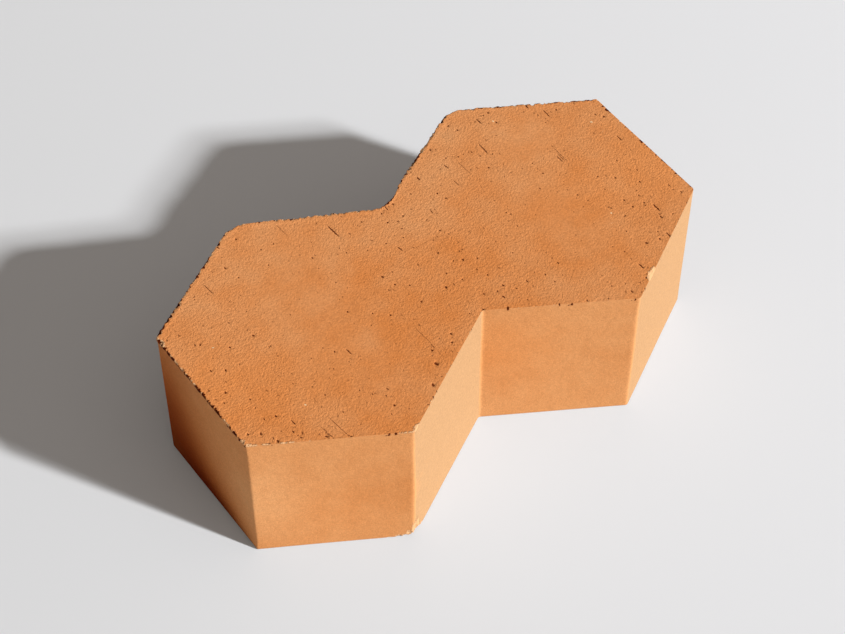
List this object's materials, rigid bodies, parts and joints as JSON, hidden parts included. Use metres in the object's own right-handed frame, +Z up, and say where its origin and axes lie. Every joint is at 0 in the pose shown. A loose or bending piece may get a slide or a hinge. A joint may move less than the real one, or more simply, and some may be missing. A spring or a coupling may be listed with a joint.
{
  "type": "double hexagon clay brick",
  "caption": "Solid fired clay brick shaped as two joined hexagons, with smooth die-formed sides and a wire-cut top, for interlocking paving or walls.",
  "frame": {"origin": "centre of the double hexagon on its bed face, which lies on the floor", "axes": "+X along the brick from its left to its right hexagon, +Y from the crisp front notch to the sagged rear notch, +Z up from the bed to the wire-cut top"},
  "size_m": [0.2, 0.1138, 0.065],
  "materials": {
    "fired_clay": "unglazed orange terracotta, matte; smooth die-formed sides, rough wire-cut top"
  },
  "bodies": {
    "root": {"brick": "fired_clay"}
  },
  "joints": []
}
